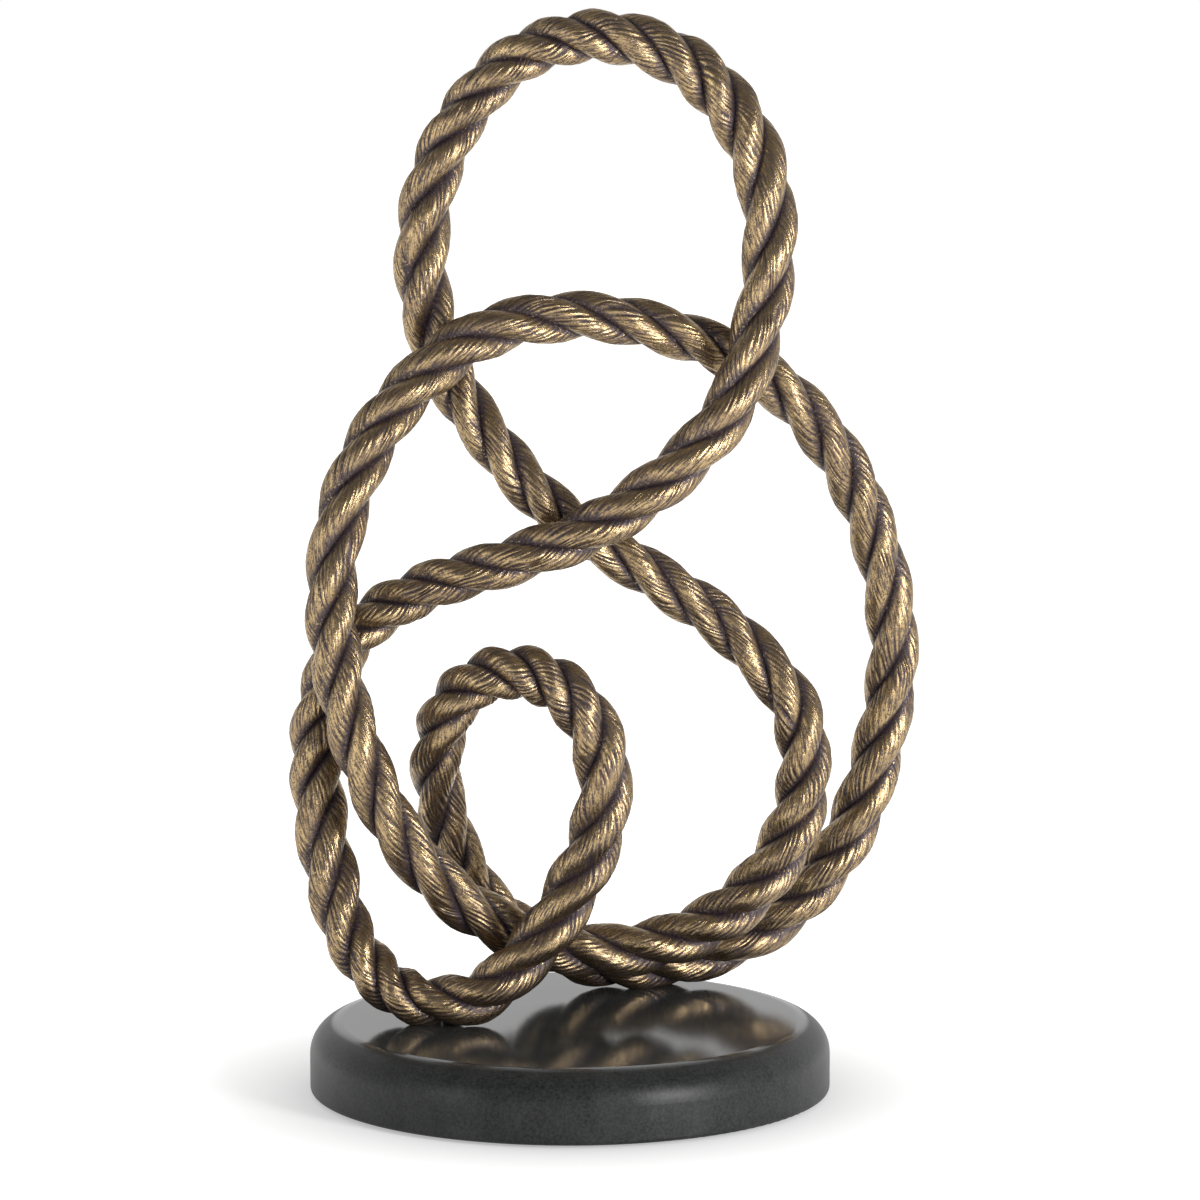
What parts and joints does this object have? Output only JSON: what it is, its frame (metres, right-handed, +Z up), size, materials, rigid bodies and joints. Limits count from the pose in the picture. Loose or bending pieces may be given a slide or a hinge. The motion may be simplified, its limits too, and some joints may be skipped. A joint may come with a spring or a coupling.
{
  "type": "knot sculpture",
  "caption": "Open knot of thick three-strand rope cast in metal with an antique brass finish, standing upright on a round dark stone base.",
  "frame": {"origin": "middle of the felt underside, where the sculpture stands", "axes": "+X to the right and +Y away from a viewer in front of the knot, +Z up"},
  "size_m": [0.3202, 0.26, 0.538],
  "materials": {
    "cast_rope": "cast, antique brass finish rubbed bright on the high places and dark in the creases",
    "stone": "honed on the side, satin polished on top",
    "felt": "black felt",
    "dowel_steel": "ground",
    "zinc_steel": "zinc plated"
  },
  "bodies": {
    "root": {"rope_small_loop": "cast_rope", "rope_tail": "cast_rope", "rope_outer_arc": "cast_rope", "rope_left_bow": "cast_rope", "rope_inner_arc": "cast_rope", "rope_cross_link": "cast_rope", "rope_top_bow": "cast_rope", "stone_base": "stone", "felt_pad": "felt", "dowel_1": "dowel_steel", "dowel_2": "dowel_steel", "dowel_3": "dowel_steel", "dowel_4": "dowel_steel", "dowel_5": "dowel_steel", "dowel_6": "dowel_steel", "dowel_7": "dowel_steel", "front_stud": "zinc_steel", "front_washer": "zinc_steel", "front_nut": "zinc_steel", "back_stud": "zinc_steel", "back_washer": "zinc_steel", "back_nut": "zinc_steel"}
  },
  "joints": []
}
